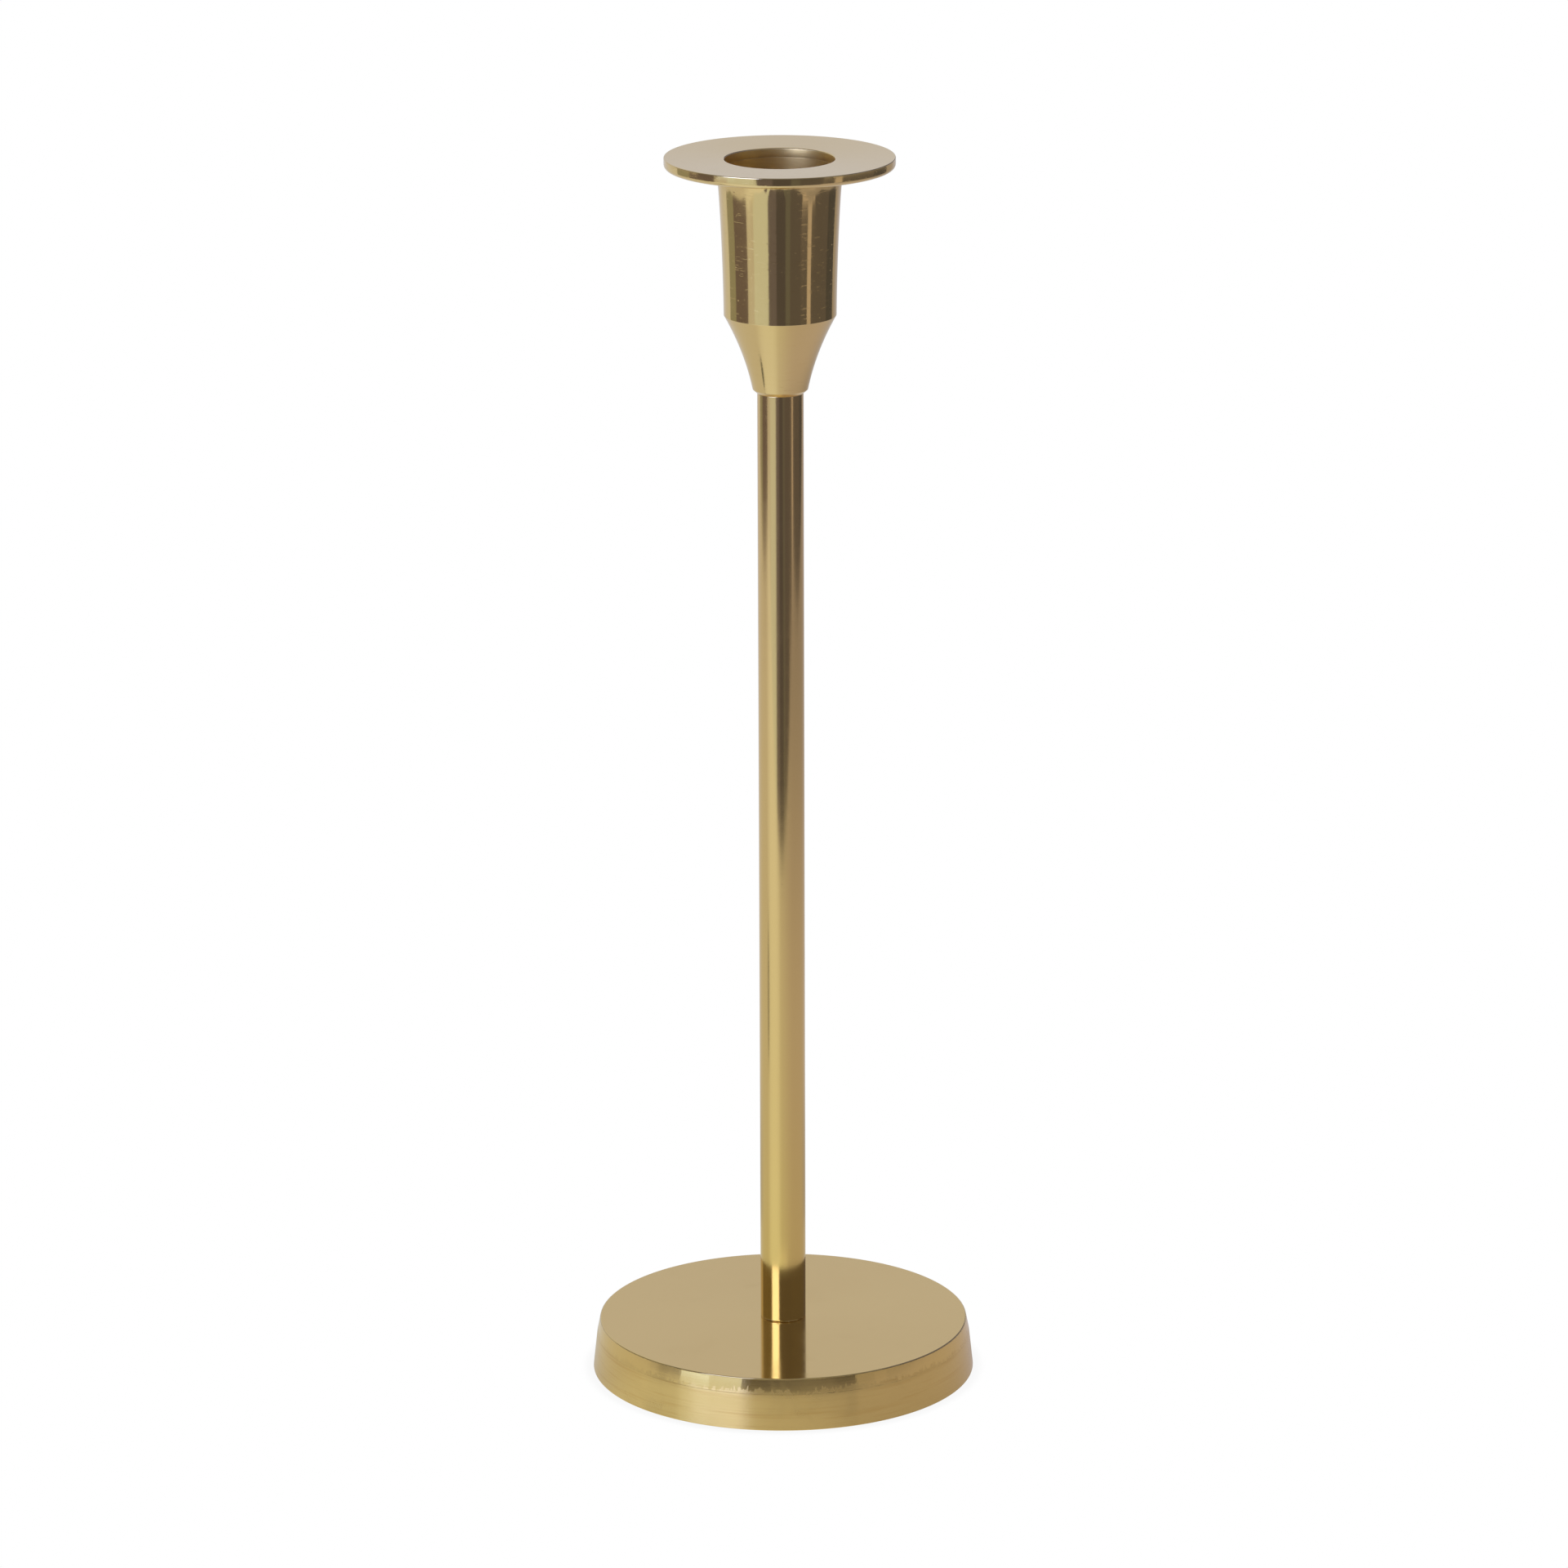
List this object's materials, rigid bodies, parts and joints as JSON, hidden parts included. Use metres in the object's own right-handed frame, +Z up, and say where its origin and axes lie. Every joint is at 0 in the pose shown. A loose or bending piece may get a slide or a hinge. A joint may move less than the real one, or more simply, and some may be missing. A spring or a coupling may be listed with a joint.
{
  "type": "candlestick",
  "caption": "Slender turned brass candlestick: round weighted base, thin tubular stem and a flared socket under a flat drip plate, for a dinner candle.",
  "frame": {"origin": "on the candlestick's axis, in the plane of the felt ring that it stands on", "axes": "+Z up along the stem, through the middle of the candle socket; the part is round about Z, and +X marks the split in the lock washer"},
  "size_m": [0.0804, 0.0804, 0.26],
  "materials": {
    "brass": "turned and fine-brushed, satin to semi-bright, clear lacquered",
    "felt": "dense wool felt",
    "zinc_steel": "bright zinc plated"
  },
  "bodies": {
    "root": {"base": "brass", "stem_tube": "brass", "candle_cup": "brass", "drip_plate": "brass", "felt_ring": "felt", "tie_rod": "zinc_steel", "flat_washer": "zinc_steel", "lock_washer": "zinc_steel", "hex_nut": "zinc_steel"}
  },
  "joints": []
}
